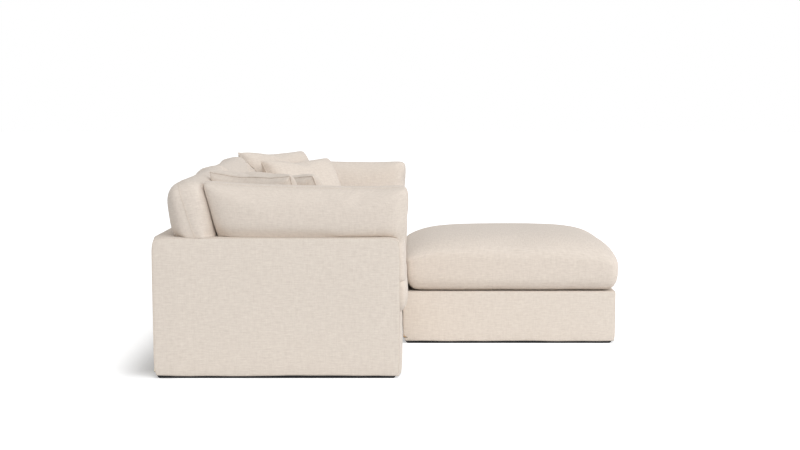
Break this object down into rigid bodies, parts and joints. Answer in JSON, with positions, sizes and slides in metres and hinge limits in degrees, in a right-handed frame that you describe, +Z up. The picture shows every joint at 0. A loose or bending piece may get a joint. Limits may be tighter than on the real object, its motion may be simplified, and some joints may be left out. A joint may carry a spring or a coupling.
{
  "type": "sectional sofa",
  "caption": "Slipcovered modular sofa with low box arms and back, loose cushions, throw pillows and a free-standing square ottoman used as its chaise.",
  "frame": {"origin": "centre of the plan, on the floor", "axes": "+X along the sofa to the right of someone who faces it, +Y to its back, +Z up"},
  "size_m": [3.15, 2.112, 0.8599],
  "materials": {
    "linen_cover": "matte",
    "linen_cushion": "matte",
    "hardwood": "matte",
    "spring_steel": "satin",
    "zinc_plate": "satin",
    "foam": "matte",
    "felt": "matte",
    "cambric": "matte",
    "black_plastic": "matte"
  },
  "bodies": {
    "root": {"left_slipcover": "linen_cover", "left_base_frame": "hardwood", "left_spring_deck": "spring_steel", "left_deck_pad": "felt", "left_dust_cover": "cambric", "left_skid_left": "black_plastic", "left_skid_right": "black_plastic", "left_arm_frame": "hardwood", "left_arm_foam": "foam", "left_back_frame": "hardwood", "left_back_foam": "foam", "left_seat_cushion": "linen_cushion", "left_back_cushion": "linen_cushion", "left_arm_cushion": "linen_cushion", "left_corner_pillow": "linen_cushion", "left_front_pillow": "linen_cushion", "middle_slipcover": "linen_cover", "middle_base_frame": "hardwood", "middle_spring_deck": "spring_steel", "middle_deck_pad": "felt", "middle_dust_cover": "cambric", "middle_skid_left": "black_plastic", "middle_skid_right": "black_plastic", "middle_back_frame": "hardwood", "middle_back_foam": "foam", "middle_seat_cushion": "linen_cushion", "middle_back_cushion": "linen_cushion", "right_slipcover": "linen_cover", "right_base_frame": "hardwood", "right_spring_deck": "spring_steel", "right_deck_pad": "felt", "right_dust_cover": "cambric", "right_skid_left": "black_plastic", "right_skid_right": "black_plastic", "right_arm_frame": "hardwood", "right_arm_foam": "foam", "right_back_frame": "hardwood", "right_back_foam": "foam", "right_seat_cushion": "linen_cushion", "right_back_cushion": "linen_cushion", "right_arm_cushion": "linen_cushion", "right_corner_pillow": "linen_cushion", "right_front_pillow": "linen_cushion", "ottoman_slipcover": "linen_cover", "ottoman_base_frame": "hardwood", "ottoman_spring_deck": "spring_steel", "ottoman_deck_pad": "felt", "ottoman_dust_cover": "cambric", "ottoman_skid_left": "black_plastic", "ottoman_skid_right": "black_plastic", "ottoman_cushion": "linen_cushion", "left_joint_front_bracket_socket": "zinc_plate", "left_joint_front_bracket_tongue": "zinc_plate", "left_joint_rear_bracket_socket": "zinc_plate", "left_joint_rear_bracket_tongue": "zinc_plate", "right_joint_front_bracket_socket": "zinc_plate", "right_joint_front_bracket_tongue": "zinc_plate", "right_joint_rear_bracket_socket": "zinc_plate", "right_joint_rear_bracket_tongue": "zinc_plate"}
  },
  "joints": []
}
